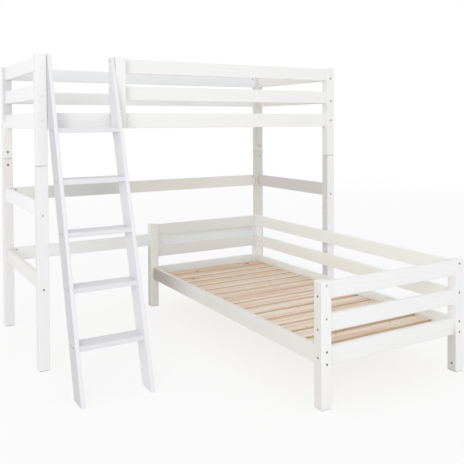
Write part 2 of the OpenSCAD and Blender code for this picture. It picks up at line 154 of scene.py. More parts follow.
print("methods of a finish:", [name for name in vars(Finish) if not name.startswith("_")])

# %% [markdown]
# Each later recipe needs the same few steps: the place of a point on the bed, noise, a smooth step, a mix of
# two colours, and the last two nodes that every wood and metal ends with. They are worth a name each.

# %% Helpers that every finish uses
WHITE = (1.0, 1.0, 1.0, 1.0)


def place(finish):
    """The x, y and z of the shaded point, in metres in the bed's own frame."""
    here = finish.add("ShaderNodeTexCoord", output="Object")
    return [finish.add("ShaderNodeSeparateXYZ", inputs={0: here}, output=i) for i in range(3)]


def vector(finish, x, y, z):
    """Three numbers or wires as one vector."""
    return finish.add("ShaderNodeCombineXYZ", inputs={0: x, 1: y, 2: z})


def noise(finish, where, detail=2.0, roughness=0.5):
    """Smooth noise from 0 to 1, with one wave per unit of each of three numbers or wires."""
    values = {"Vector": vector(finish, *where), "Scale": 1.0, "Detail": detail, "Roughness": roughness}
    return finish.add("ShaderNodeTexNoise", {"noise_dimensions": "3D"}, values, "Fac")


def random_of(finish, number, seed):
    """A fixed random number from 0 to 1 for each whole number."""
    return finish.add("ShaderNodeTexWhiteNoise", {"noise_dimensions": "1D"}, {"W": number + seed}, "Value")


def step(finish, value, low, high):
    """0 before low, 1 beyond high, and smooth between. High may also be the smaller of the two."""
    values = {"Value": value, "From Min": low, "From Max": high}
    return finish.add("ShaderNodeMapRange", {"interpolation_type": "SMOOTHSTEP"}, values)


def mix(finish, share, first, second, blend="MIX"):
    """Two colours mixed: the share of the second one is a number or a wire from 0 to 1."""
    values = {
        "Factor_Float": share,
        "A_Color": first if isinstance(first, Wire) else (*first, 1.0),
        "B_Color": second if isinstance(second, Wire) else (*second, 1.0),
    }
    settings = {"data_type": "RGBA", "blend_type": blend}
    return finish.add("ShaderNodeMix", settings, values, "Result_Color")


def times(finish, colour, factors):
    """A colour whose red, green and blue are multiplied by those of another."""
    return mix(finish, 1.0, colour, factors, "MULTIPLY")


def darker(colour, share):
    """A colour whose red, green and blue are that share of what they were."""
    return tuple(channel * share for channel in colour)


def surface(finish, colour, roughness, height, depth, **constants):
    """The last nodes: a bump of that height field and depth in metres, and the shader itself."""
    bump = finish.add("ShaderNodeBump", inputs={"Strength": 1.0, "Distance": depth, "Height": height})
    values = {"Base Color": colour, "Roughness": roughness, "Normal": bump}
    for name, value in constants.items():
        values[name.replace("_", " ").title()] = value
    return finish.shade(finish.add("ShaderNodeBsdfPrincipled", inputs=values))


print("half of white:", darker(WHITE[:3], 0.5))

# %% [markdown]
# ## White paint on pine
#
# The posts, rails and ladder are pine boards under two coats of satin water-based paint. The paint hides
# the colour of the wood but sinks a little into the soft early wood, so the grain still shows as fine lines
# in the light. It could be a plain white with a gloss; that looks like plastic. Here the height comes from
# rings and fibres that are stretched along the board, and the colour and the gloss follow them a little.

# %% The grain of a painted board
RING = 0.0065  # mean width of a growth ring, in metres
RING_SLANT = 0.7  # how far the rings lean as they go through the board
RING_DRIFT = 9.0  # how many rings' widths they wander along and across the board
DRIFT_REACH = (0.9, 0.06)  # length and width over which they keep their place
RING_EDGES = (0.1, 0.9)  # parts of a ring's wave between which early wood turns to late wood
FIBRE = 0.0011  # width of a bundle of fibres
FIBRE_REACH = 0.05  # and its length
FIBRE_DETAIL = (3.0, 0.6)  # detail and roughness of the noise that stands for fibres
CLOUD_REACH = (0.5, 0.12)  # length and width of a patch of thicker paint
Grain = namedtuple("Grain", "along rings fibres clouds")


def painted_grain(finish, axis):
    """The place along the board, and its rings, fibres and clouds, each from 0 to 1.

    Axis 0, 1 or 2 says that the board lies along x, y or z. The rings are a sine of the distance across the
    board, bent by slow noise. The fibres are noise that is some forty-five times longer along the board than
    across it, and the clouds are slow noise.
    """
    where = place(finish)
    along, across, depth = where[axis], where[(axis + 1) % 3], where[(axis + 2) % 3]
    length, width = DRIFT_REACH
    drift = noise(finish, (along / length, across / width, depth / width), detail=1.0)
    rings = (((across + depth * RING_SLANT) / RING + drift * RING_DRIFT) * math.tau).maths("SINE")
    rings = step(finish, rings * 0.5 + 0.5, *RING_EDGES)
    fibres = noise(finish, (along / FIBRE_REACH, across / FIBRE, depth / FIBRE), *FIBRE_DETAIL)
    length, width = CLOUD_REACH
    clouds = noise(finish, (along / length, across / width, depth / width))
    return Grain(along, rings, fibres, clouds)


rail_low, rail_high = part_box("low_left_side_rail")
print("rings across a rail:", round((rail_high[2] - rail_low[2]) / RING))

# %% [markdown]
# The paint isn't the same everywhere. Two pieces that stand on each other show a dark line at their joint.
# In the photograph some left and front faces are darker than the light alone makes them, so they get painted
# shade, and on a few left faces the brown of thin paint comes through, mixed with painted shade. A drilled
# hole
# has no paint: it gets painted shade of dark raw wood, as do tight corners, unless it was filled. Each of
# these could be a material of its own. Here each is a small function that takes the paint's colour and the
# board's grain and gives a changed colour, so that a board can have any of them.

# %% What changes the paint of a board
JOINT_HALF = (0.0006, 0.0018)  # distances from the joint over which its line fades out, in metres
JOINT_SHADE = (0.36, 0.34, 0.31)
FACING = (-0.75, -0.95)  # a face's normal along an axis, from where it begins to count as facing it
THIN_PAINT_AND_SHADE = (0.46, 0.40, 0.34)  # what the wood and the painted shade leave of the paint's colour where they show
THIN_ON_RINGS = 0.25  # how much more it shows on the rings than between them
BORE_REACH = 0.03  # how far a point in a drilled hole looks round itself, in metres
BORE_OPEN = (0.10, 0.30)  # shares of open view between which the painted shade of raw wood fades out
BORE_SAMPLES = 8  # rays with which it looks
# raw wood darkened by painted shade
BORE_WOOD_IN_SHADE = (0.075, 0.055, 0.040)


def facing_low(finish, axis):
    """1 on the faces that look to the low end of that axis: 0 is the left side, 1 the front. Else 0."""
    normal = finish.add("ShaderNodeNewGeometry", output="Normal")
    part = finish.add("ShaderNodeSeparateXYZ", inputs={0: normal}, output=axis)
    return step(finish, part, *FACING)


def joint_line(finish, colour, grain, height):
    """A dark line at that height: it fades out with the distance from it."""
    gap = 1.0 - step(finish, (grain.along - height).maths("ABSOLUTE"), *JOINT_HALF)
    return mix(finish, gap, colour, JOINT_SHADE)


def shaded_left(finish, colour, grain, factors):
    """Painted shade on the whole left face."""
    return mix(finish, facing_low(finish, 0), colour, times(finish, colour, factors))


def shaded_front(finish, colour, grain, stretch, factors):
    """Painted shade on the front face. Its stretch is four places: it begins, is full, is still full, ends.
    """
    begins, full, still_full, ends = stretch
    share = step(finish, grain.along, begins, full) * step(finish, grain.along, ends, still_full)
    return mix(finish, share * facing_low(finish, 1), colour, times(finish, colour, factors))


def thin_paint_and_shade_left(finish, colour, grain, covered, bare, most):
    """Thin paint and painted shade on the left face: the paint covers the wood at one place along the board,
    least at the other.
    """
    share = step(finish, grain.along, covered, bare) * facing_low(finish, 0)
    share = share * (1 - THIN_ON_RINGS + grain.rings * THIN_ON_RINGS) * most
    return mix(finish, share, colour, times(finish, colour, THIN_PAINT_AND_SHADE))


def painted_hole_shade(finish, colour):
    """Painted shade of dark raw wood where the view from a point is closed in, as it is inside a hole or a
    tight corner.
    """
    values = {"Color": WHITE, "Distance": BORE_REACH}
    view = finish.add("ShaderNodeAmbientOcclusion", {"samples": BORE_SAMPLES}, values, "AO")
    return mix(finish, step(finish, view, *BORE_OPEN), BORE_WOOD_IN_SHADE, colour)


print("a joint's line ends", JOINT_HALF[1], "m from the joint")

# %% [markdown]
# The paint itself goes from a slightly darker shade to its full colour with the grain under it. The gloss is
# satin, a little duller on the fibres, under a thin clear coat.

# %% Paint over grain
IN_COLOUR = (0.30, 0.45, 0.25)  # shares of the rings, the fibres and the clouds in the colour
IN_HEIGHT = (0.35, 0.65)  # shares of the rings and the fibres in the height
PAINT_SPREAD = (0.15, 0.85)  # sums of the three between which the colour grows from dark to full
PAINT_DARKEST = 0.955  # darkest shade, as a part of the paint's colour
PAINT_DEPTH = 0.00018  # height of the grain that the paint leaves, in metres
PAINT_ROUGHNESS = (0.36, 0.14, 0.06)  # the least, and what the fibres and the clouds add to it
CLEAR_COAT = {"coat_weight": 0.12, "coat_roughness": 0.3}


def painted_pine(name, paint, axis, changes, filled):
    """White paint over pine whose grain runs along that axis, with the changes of its tint group.

    The colour and the height of the surface are weighted sums of rings, fibres and clouds. Filled holes show
    no raw wood and no painted shade.
    """
    finish = new_finish(name)
    grain = painted_grain(finish, axis)
    shade = grain.rings * IN_COLOUR[0] + grain.fibres * IN_COLOUR[1] + grain.clouds * IN_COLOUR[2]
    colour = mix(finish, step(finish, shade, *PAINT_SPREAD), darker(paint, PAINT_DARKEST), paint)
    for change, *values in changes:
        colour = change(finish, colour, grain, *values)
    # painted shade of raw wood in holes and tight corners, unless the holes are filled
    if not filled:
        colour = painted_hole_shade(finish, colour)
    height = grain.rings * IN_HEIGHT[0] + grain.fibres * IN_HEIGHT[1]
    least, on_fibres, on_clouds = PAINT_ROUGHNESS
    roughness = least + grain.fibres * on_fibres + grain.clouds * on_clouds
    return surface(finish, colour, roughness, height, PAINT_DEPTH, **CLEAR_COAT)


print("shares in the colour:", sum(IN_COLOUR), "in the height:", sum(IN_HEIGHT))

# %% [markdown]
# The pieces differ in tone in the photograph: the ladder is a cooler white than the beds, the guard behind
# it is bluish, the far end is grey. So each group of boards has its own tint, partly a batch of paint and
# partly
# painted light and shade: groups that stand in shade are darker, others lighter than the real paint, so that
# they render as in the photograph. One white for all would be simpler, but look cleaner than the real bed. A
# board's group follows from its name.

# %% Tint groups, with painted light and shade
BED_WHITE = (0.905, 0.905, 0.903)
LADDER_WHITE = (0.845, 0.842, 0.878)
# tints of the groups: partly paint, partly painted light and shade where a group stands in shade or in light
TINTS_AND_PAINTED_SHADES = {
    "left_stringer": LADDER_WHITE,
    "right_stringer": LADDER_WHITE,
    "tread": (0.785, 0.782, 0.818),
    "leg_rail": (0.880, 0.872, 0.845),
    "left_end": (0.955, 0.957, 0.957),
    "back_upper_rail": (0.868, 0.880, 0.845),
    "back_lower_rail": (0.925, 0.952, 0.938),
    "right_leg_rail": (0.705, 0.697, 0.692),
    "back_right_post": (0.800, 0.790, 0.762),
    "back_right_leg": (0.755, 0.735, 0.680),
    "back_left_leg": (0.855, 0.850, 0.858),
    "back_guard": (0.880, 0.928, 0.970),
    "back_mid_guard": (0.900, 0.960, 0.990),
    "far_end": (0.840, 0.858, 0.862),
    "far_end_low": (0.890, 0.918, 0.930),
    "lower_guard": (0.955, 0.985, 0.950),
    "lower_rail": (0.838, 0.815, 0.790),
    "far_left_post": (0.905, 0.918, 0.885),
}  # the other tint groups, and the rest of the bed, are BED_WHITE
TINT_GROUP_OF = {
    "ladder_*tread*": "tread",
    "ladder_*left*": "left_stringer",
    "ladder_*right*": "right_stringer",
    "leg_right_*_rail": "right_leg_rail",
    "leg_back_upper_rail": "back_upper_rail",
    "leg_back_lower_rail": "back_lower_rail",
    "leg_left_upper_rail": "left_end",
    "loft_left_end_*": "left_end",
    "leg_*_rail": "leg_rail",
    "leg_back_right": "back_right_leg",
    "leg_back_left": "back_left_leg",
    "leg_front_left": "front_left_leg",
    "leg_front_right": "front_right_leg",
    "loft_post_back_right": "back_right_post",
    "loft_post_back_left": "back_left_post",
    "loft_back_mid_guard": "back_mid_guard",
    "loft_back_*_guard": "back_guard",
    "low_far_end_low_rail": "far_end_low",
    "low_far_end_*": "far_end",
    "low_right_*": "lower_guard",
    "low_left_side_rail": "lower_rail",
    "low_post_far_left": "far_left_post",
    "low_post_near_left": "near_left_post",
    "low_post_near_right": "near_right_post",
}  # the first pattern that a name fits counts


def tint_group_of(node):
    """The tint group that a node belongs to."""
    fits = [tint_group for pattern, tint_group in TINT_GROUP_OF.items() if fnmatch.fnmatch(node, pattern)]
    return fits[0] if fits else "bed"


print("patterns:", len(TINT_GROUP_OF), "tints:", len(set(TINTS_AND_PAINTED_SHADES.values())) + 1)

# %% [markdown]
# Some tint groups also have the changes from above. The joint lies where the legs end. The places of the
# painted shades follow from other boards where they can, and are given as coordinates along the board where
# they can't. The factors could be one for all, but no two of these faces are equally dark in the photograph.

# %% Changes of each tint group
stack_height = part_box("leg_front_left")[1][2]
lower_rail_end = rail_high[1]
end_rail_low, end_rail_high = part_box("loft_left_end_low_rail")
LADDER_SHADOW_STRETCH = (0.00, -0.36, -0.66, -0.90)  # stretch of the back upper rail, along x, that carries the ladder's painted shadow
OVER_THE_TOP = (1.80, 1.90)  # heights above every post, for a shade that goes on to the post's top
THIN_AND_SHADED_END = (0.70, 0.10)  # distances from the rail's far end where thin paint and painted shade begin and are strongest
NEAR_POST_THIN_AND_SHADED = (0.30, 0.20, 0.42)  # heights where thin paint and painted shade begin and are strongest, and how strong they are there
FAR_POST_THIN_AND_SHADED = (0.52, 0.40, 0.65)

joint = (joint_line, stack_height)
over_end_rail = (end_rail_low[2], end_rail_high[2], *OVER_THE_TOP)
thin_and_shaded_end = [lower_rail_end - distance for distance in THIN_AND_SHADED_END]
# shades on faces here are painted shade; on the back upper rail it is the ladder's painted shadow, and the
# thin paint on left faces carries painted shade as well
CHANGES = {
    "left_stringer": [(shaded_left, (0.76, 0.76, 0.76))],
    "back_upper_rail": [(shaded_front, LADDER_SHADOW_STRETCH, (0.76, 0.79, 0.83))],
    "back_left_leg": [joint],
    "back_left_post": [joint, (shaded_front, over_end_rail, (0.79, 0.79, 0.835))],
    "front_left_leg": [joint, (shaded_left, (0.945, 0.94, 0.935))],
    "front_right_leg": [joint, (shaded_left, (0.80, 0.82, 0.815))],
    "near_left_post": [(shaded_left, (0.89, 0.865, 0.83))],
    "near_right_post": [(thin_paint_and_shade_left, *NEAR_POST_THIN_AND_SHADED)],
    "lower_rail": [(thin_paint_and_shade_left, *thin_and_shaded_end, 1.0)],
    "far_left_post": [(thin_paint_and_shade_left, *FAR_POST_THIN_AND_SHADED)],
}
FILLED = {"far_left_post", "far_end", "far_end_low", "lower_guard", "back_right_post", "back_right_leg"}
print("joint at", round(float(stack_height), 3), "m; batches with changes:", len(CHANGES))

# %% [markdown]
# Which way the grain runs follows from the board itself: it is its longest side. A tint group may hold
# boards of two directions, so a can of paint is opened for each pair of tint group and direction. Upright
# boards of the plain bed white include the posts that stand on a leg, so that can has the joint too.

# %% Give every painted board its paint
UPRIGHT = 2  # the axis of a board that stands


def longest_axis(node):
    """0, 1 or 2 for a node that is longest along x, y or z."""
    low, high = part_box(node)
    return int(np.argmax(high - low))


def wear(node, material):
    """Puts one material on a CAD node, in place of what it was packed with."""
    slots = nodes[node].material_slots
    for slot in slots:
        slot.material = material
    if not slots:
        nodes[node].data.materials.append(material)


def open_can(tint_group, axis):
    """The paint of a tint group on boards along that axis."""
    plain = [joint] if (tint_group, axis) == ("bed", UPRIGHT) else []
    name = f"paint_{tint_group}_{'xyz'[axis]}"
    return painted_pine(name, TINTS_AND_PAINTED_SHADES.get(tint_group, BED_WHITE), axis, CHANGES.get(tint_group, plain), tint_group in FILLED)


slot_of = {part["node"]: part["material_slot"] for part in frame["record"]["subparts"]}
painted = [node for node, slot in slot_of.items() if slot == "painted_pine"]
cans = {}
for node in painted:
    can = (tint_group_of(node), longest_axis(node))
    if can not in cans:
        cans[can] = open_can(*can)
    wear(node, cans[can])
print("painted nodes:", len(painted), "paints:", len(cans))

# %% [markdown]
# ## Bare pine
#
# The slats and the ledger strips are planed pine with no finish. Pine is pale straw where the tree grew fast
# in spring and reddish where it grew slowly in summer, and a flat board cuts these rings as long flames. One
# noise for the whole bed would run from slat to slat as if they were one plank, so each slat takes its own
# log: a random place for the middle of the tree, a random warmth and a random shift along it. The
# photograph shows the warmer boards at the far end of the lower bed, so the warmth also grows with the
# number of the board.

# %% A log for each board
SLATS_OF_A_BED = 16
LOG_SEEDS = (0.5, 11.5, 23.5, 37.5, 53.5)  # shift, heart, freshness, warmth and sapwood of a log
LOG_LENGTH = 7.0  # metres of tree that the boards are cut from
HEART_ACROSS = (0.1, 0.7)  # least place of the tree's middle in a board's pitch, and what chance adds
HEART_UNDER = (0.012, 0.06)  # the same for its depth under the board, in metres
SLAT_RING = 0.0048  # width of a ring in the slats, in metres
SLAT_DRIFT = (0.8, 0.09, 5.1)  # length and width over which a ring keeps its place, and a jump per log
RING_BEND = (0.035, 0.010)  # how far slow noise and a knot push the rings, in metres
RING_DARKENS = (0.25, 0.92)  # parts of a ring over which it grows dark,
RING_ENDS = (0.93, 1.0)  # and over which it ends


def draw_log(finish, across, start, pitch):
    """The number of the board at a point, and the random numbers of its log."""
    board = ((across - start) / pitch).maths("FLOOR")
    return board, [random_of(finish, board, seed) for seed in LOG_SEEDS]


def growth_rings(finish, across, under, drift, near_knot):
    """Dark summer wood from 0 to 1: a sawtooth of the distance from the heart, the middle of the tree.

    The distance is the root of across squared plus under squared, pushed by noise and by knots. The sawtooth
    rises slowly through each ring and falls sharply at its end.
    """
    by_noise, by_knot = RING_BEND
    reach = (across * across + under * under).maths("SQRT") + drift * by_noise + near_knot * by_knot
    ring = (reach / SLAT_RING).maths("FRACT")
    return step(finish, ring, *RING_DARKENS) * (1.0 - step(finish, ring, *RING_ENDS))


slats_low, slats_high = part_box("low_slats")
print("rings in a slat's thickness:", round((slats_high[2] - slats_low[2]) / SLAT_RING))

# %% [markdown]
# Knots are where branches grew. They are round, dark, rare and in no order, and the rings bend round them. A
# cell pattern gives their places: the middle of a cell is a knot if that cell's random number says so. Three
# bold knots show in the photograph, on the far slats of the lower bed, so these have places of their own.

# %% Knots
CELL_REACH = 0.17  # size of a knot's cell along the grain, in metres,
CELL_WIDTH = 0.12  # and across it
CELL_JUMP = 1.7  # how far the pattern jumps from one board to the next
KNOTTY = (0.66, 0.68)  # random numbers between which a cell comes to have a knot
KNOT_EDGE = (0.028, 0.050)  # distances from a knot's middle over which it fades out, in cells,
KNOT_BEND = (0.04, 0.30)  # and over which the rings stop bending round it
BOLD_EDGE = (0.08, 0.13)  # the same for a bold knot
BOLD_BEND = (0.05, 0.45)
FAR_AWAY = 1.0  # a distance in cells at which nothing is seen of a knot
BOLD_KNOTS = {"pine_lower_bed": [(0.335, 0.862), (0.200, 0.668), (0.800, 0.892)]}  # x and y of each


def nearest_knot(x, y, knots):
    """Distance to the nearest of the bold knots, in cells: the least of their distances."""
    nearest = FAR_AWAY
    for knot_x, knot_y in knots:
        along, across = (x - knot_x) / CELL_REACH, (y - knot_y) / CELL_WIDTH
        nearest = (along * along + across * across).maths("SQRT").maths("MINIMUM", nearest)
    return nearest


def knot_shares(finish, along, across, board, bold):
    """How much a point lies in a knot, and how much near one, each from 0 to 1."""
    where = vector(finish, along / CELL_REACH, across / CELL_WIDTH + board * CELL_JUMP, 0.0)
    flat = {"voronoi_dimensions": "2D"}
    cells = {"Vector": where, "Scale": 1.0}
    distance = finish.add("ShaderNodeTexVoronoi", flat, cells, "Distance")
    luck = finish.add("ShaderNodeTexVoronoi", flat, cells, "Color")
    luck = step(finish, finish.add("ShaderNodeRGBToBW", inputs={0: luck}), *KNOTTY)
    knot = (1.0 - step(finish, distance, *KNOT_EDGE)) * luck + (1.0 - step(finish, bold, *BOLD_EDGE))
    near = (1.0 - step(finish, distance, *KNOT_BEND)) * luck + (1.0 - step(finish, bold, *BOLD_BEND))
    return knot, near


print("bold knots:", sum(len(knots) for knots in BOLD_KNOTS.values()))

# %% [markdown]
# The wood of a log is mixed from the colours of spring and summer wood, by its rings, its broad streaks and
# its fine fibres. Then it is made paler or warmer as a whole, because no two trees are alike. A picture of
# pine would repeat from slat to slat; a sum of noises doesn't.

# %% The wood of a log
SPRING = (0.90, 0.81, 0.70)
SUMMER = (0.72, 0.48, 0.31)
IN_SUMMER = (0.42, 0.62, 0.35)  # shares of rings, streaks and fibres in the summer colour
PALE_LOG = (1.06, 1.12, 1.20)  # factors on the wood's colour, from the palest log
WARM_LOG = (0.90, 0.815, 0.72)  # to the warmest
WARMTH = (0.4, 0.65)  # shares of chance and of the board's place in the bed in its warmth
FINE_FIBRE = (0.06, 0.0009)  # length and width of a bundle of fibres, in metres
FINE_DETAIL = (3.0, 0.65)  # detail and roughness of their noise
STREAK = (0.9, 0.019, 9.3)  # length and width of a streak, and a jump per log
STREAK_DETAIL = (2.0, 0.55)
STREAK_EDGES = (0.44, 0.62)  # parts of that noise between which a streak grows full


def fine_fibres(finish, along, across, depth):
    """Noise that is some sixty-five times longer along the board than across it."""
    length, thick = FINE_FIBRE
    return noise(finish, (along / length, across / thick, depth / thick), *FINE_DETAIL)


def broad_streaks(finish, along, across, board):
    """A smooth step of noise that is nearly fifty times longer along the board than across it."""
    length, thick, jump = STREAK
    streaks = noise(finish, (along / length, across / thick, board * jump), *STREAK_DETAIL)
    return step(finish, streaks, *STREAK_EDGES)


def log_colour(finish, ring, streaks, fibres, board, luck):
    """Spring and summer wood, mixed by a weighted sum, times the factors of the log's warmth.

    The warmth is luck and the square of the board's place in the bed, each times its share.
    """
    summer = ring * IN_SUMMER[0] + streaks * IN_SUMMER[1] + (fibres - 0.5) * IN_SUMMER[2]
    far = board / SLATS_OF_A_BED
    warm = luck * WARMTH[0] + far * far * WARMTH[1]
    return times(finish, mix(finish, summer, SPRING, SUMMER), mix(finish, warm, PALE_LOG, WARM_LOG))


print("warmth up to", round(sum(WARMTH), 2))

# %% [markdown]
# Some boards were cut so near the bark that one side of them is pale sapwood. The top of every slat is
# planed, but its sides are only sawn, and they face each other across narrow gaps. They are darker: rough
# wood that has taken up dirt, most of all where they are old, and painted shade of the gaps. They could have
# a material of their own, but the distance from the board's middle tells them too.

# %% Sapwood, and sawn edges with painted gap shade
SAP = (0.97, 0.93, 0.87)
SAP_FROM = (0.30, 0.44)  # parts of the width from the middle over which sapwood begins
SAP_DRIFT = 0.012  # how far its border wanders, in metres
SAP_LUCK = (0.35, 0.75)  # random numbers between which a board comes to have it
SAP_MOST = 0.85
OLD_EDGE_AND_GAP_SHADE = (0.54, 0.39, 0.26)  # sawn edges, darkened by handling and by painted shade of the gaps between slats
NEW_EDGE_AND_GAP_SHADE = (0.72, 0.58, 0.43)  # or freshly cut, also with painted gap shade
EASE = 0.003  # radius of the eased edges, in metres
SAWN_FROM = (0.7, 0.1)  # parts of that radius over which a face turns into a sawn edge
SAWN_SHARE = (0.65, 0.4)  # how much of the edge's colour shows, and what the fibres add


def add_sapwood(finish, wood, off_middle, drift, luck, width):
    """Pale wood on the low side, beyond a part of the width that the noise moves to and fro."""
    sap = step(finish, off_middle * -1.0 + drift * SAP_DRIFT, width * SAP_FROM[0], width * SAP_FROM[1])
    return mix(finish, sap * step(finish, luck, *SAP_LUCK) * SAP_MOST, wood, SAP)


def shade_sawn_edges(finish, wood, off_middle, fibres, freshness, width):
    """The sawn colour with painted gap shade where the distance from the middle comes within a part of EASE
    of half the width.
    """
    sawn_from, sawn_to = [width / 2 - EASE * part for part in SAWN_FROM]
    sawn_and_shaded = step(finish, off_middle.maths("ABSOLUTE"), sawn_from, sawn_to)
    edge_and_gap_shade = mix(finish, freshness, OLD_EDGE_AND_GAP_SHADE, NEW_EDGE_AND_GAP_SHADE)
    return mix(finish, sawn_and_shaded * (SAWN_SHARE[0] + fibres * SAWN_SHARE[1]), wood, edge_and_gap_shade)


print("a slat's sawn edge begins", round(EASE * SAWN_FROM[0], 4), "m from its side")

# %% [markdown]
# Now the parts come together in the order in which the wood got them: the log, its knots, its sapwood, and
# last the marks of the saw, with the painted shade of the gaps. The height of the surface follows fibres and
# rings, and sinks at a knot.

# %% Bare pine
KNOT = (0.26, 0.12, 0.055)
KNOT_MOST = 0.92
PINE_HEIGHT = (0.6, 0.4, 0.5)  # shares of fibres and rings in the height, and how far a knot lies deeper
PINE_DEPTH = 0.00022  # height of the grain, in metres
PINE_ROUGHNESS = (0.52, 0.16)  # the least, and what the fibres add to it


def bare_pine(name, axis, across_axis, start, pitch, width):
    """Pine whose grain runs along one axis, with a new log every pitch along another, from start on.

    Its height is a weighted sum of fibres and rings less that of the knots. Width is that of a board, whose
    sawn edges lie half of it from its middle.
    """
    finish = new_finish(name)
    where = place(finish)
    along, across, depth = where[axis], where[across_axis], where[2]
    bold = nearest_knot(along, across, BOLD_KNOTS.get(name, []))
    board, (shift, heart, freshness, warmth, sap) = draw_log(finish, across, start, pitch)
    along = along + shift * LOG_LENGTH
    knot, near_knot = knot_shares(finish, along, across, board, bold)

    heart_across = across - start - board * pitch - pitch * (HEART_ACROSS[0] + HEART_ACROSS[1] * heart)
    heart_under = HEART_UNDER[0] + freshness * HEART_UNDER[1]  # one chance serves for both
    length, thick, jump = SLAT_DRIFT
    drift = noise(finish, (along / length, across / thick, board * jump))
    ring = growth_rings(finish, heart_across, heart_under, drift, near_knot)
    fibres = fine_fibres(finish, along, across, depth)
    streaks = broad_streaks(finish, along, across, board)

    off_middle = across - start - (board + 0.5) * pitch
    wood = log_colour(finish, ring, streaks, fibres, board, warmth)
    wood = mix(finish, knot * KNOT_MOST, wood, KNOT)
    wood = add_sapwood(finish, wood, off_middle, drift, sap, width)
    # sawn edges, with painted shade of the gaps between slats
    wood = shade_sawn_edges(finish, wood, off_middle, fibres, freshness, width)
    height = fibres * PINE_HEIGHT[0] + ring * PINE_HEIGHT[1] - knot * PINE_HEIGHT[2]
    return surface(finish, wood, PINE_ROUGHNESS[0] + fibres * PINE_ROUGHNESS[1], height, PINE_DEPTH)


print("roughness up to", round(sum(PINE_ROUGHNESS), 2))

# %% [markdown]
# ## The slats as eased boards
#
# A slat has its long edges eased with a small round, so that a mattress slides over it, and its ends are
# sanded. It also cups a little as it dries. The packed slats have plain narrow bevels. We work each board
# out as a surface on a grid: one parameter goes round a rectangle with round corners, the other along the
# board. It could be a box with a Bevel modifier, but the cup would need a second tool.

# %% The outline of a board
CORNER_STEPS = 4
CUP_STEPS = 6


def eased_outline(width, thickness, inset):
    """Points round a rectangle with round corners, drawn in by an inset.

    Each corner is a quarter circle of radius EASE less the inset. The points on the two flat sides are
    evenly spaced, so that the side can cup.
    """
    radius = EASE - inset
    angles = np.linspace(0.0, math.pi / 2, CORNER_STEPS + 1)
    x_core, y_core = width / 2 - EASE, thickness / 2 - EASE
    pieces = []
    for turn, (sx, sy) in enumerate([(1, -1), (1, 1), (-1, 1), (-1, -1)]):
        angle = angles + (turn - 1) * math.pi / 2
        corner = np.stack([sx * x_core + radius * np.cos(angle), sy * y_core + radius * np.sin(angle)], 1)
        pieces.append(corner)
        if turn % 2:
            flat = np.linspace(sx * x_core, -sx * x_core, CUP_STEPS + 1)[1:-1]
            pieces.append(np.stack([flat, np.full(flat.shape, sy * (y_core + radius))], 1))
    return np.concatenate(pieces)


print("points round a slat:", len(eased_outline(1.0, 1.0, 0.0)))

# %% [markdown]
# A board is that outline carried along its length. The rings near both ends are drawn in by nearly the same
# radius as the long edges, and the upper side of every ring sinks in its middle, which makes the cup.

# %% A board with eased edges
CUP = 0.0007  # how far the middle of a slat may lie below its edges, in metres
END_ROUND = 0.98  # part of the edges' radius by which the ends are drawn in, so that no corner closes


def eased_board(length, width, thickness, cup):
    """Points (rings, round, 3) of a board along its own z: place across, height, place along.

    The rings at an end are drawn in by EASE times one less the sine, at EASE times one less the cosine from
    the end. The upper half of every ring sinks by cup times the cosine of its place across the board.
    """
    angle = np.linspace(0.0, math.pi / 2, CORNER_STEPS + 1)
    inset = EASE * (1 - np.sin(angle)) * END_ROUND
    start = EASE * (1 - np.cos(angle))
    insets = np.concatenate([inset, inset[::-1]])
    places = np.concatenate([start, length - start[::-1]])
    outlines = np.stack([eased_outline(width, thickness, value) for value in insets])
    sink = cup * np.cos(outlines[..., 0] / width * math.pi)
    height = outlines[..., 1] - sink * np.clip(outlines[..., 1] / thickness * 2, 0, 1)
    along = np.broadcast_to(places[:, None], height.shape)
    return np.stack([outlines[..., 0], height, along], -1)


def tube_faces(rings, around):
    """Quads between each ring of points and the next, and one face over each end."""
    here = np.arange(rings - 1)[:, None] * around + np.arange(around)[None, :]
    right = np.roll(here, -1, axis=1)
    quads = np.stack([here, right, right + around, here + around], -1).reshape(-1, 4)
    ends = [list(range(around))[::-1], list(range((rings - 1) * around, rings * around))]
    return quads.tolist() + ends


print("rings and points round of a board:", eased_board(1.0, 1.0, 1.0, CUP).shape[:2])

# %% [markdown]
# The packed slats say how many boards there are and where each one lies, so nothing has to be typed again.
# At one end of the boards, every slat's end face has the same number of points across the bed, and the first
# and last of them are its two sides.

# %% Where the slats lie
SLATS = [
    ("slats_raised_bed", "loft_slats", 1, 0),
    ("slats_lower_bed", "low_slats", 0, 1),
]  # name of the new piece, the packed node, and the axes along and across its boards
SAME_PLACE = 5  # decimals of a metre to which points count as one


def slat_sides(node, axis, across_axis):
    """The low and high side of each slat across the bed, from the points at the low end of the boards."""
    points = np.round([vertex.co for vertex in nodes[node].data.vertices], SAME_PLACE)
    end_points = points[points[:, axis] == points[:, axis].min()]
    places = np.unique(end_points[:, across_axis]).reshape(SLATS_OF_A_BED, -1)
    return places[:, [0, -1]]


print("y of the lower bed's first slat:", slat_sides("low_slats", 0, 1)[0].tolist())

# %% [markdown]
# Each bed's slats become one mesh, because they are one node, and that mesh takes the node's place. Sixteen
# objects would be no easier to handle, since nobody moves a slat by itself.

# %% Lay the slats on the ledgers
CUP_LEAST = 0.4  # the flattest slat's part of CUP
CUP_TURN = 2.4  # radians of the sine that spreads the cups over the boards
SMOOTH_ANGLE = math.radians(35)


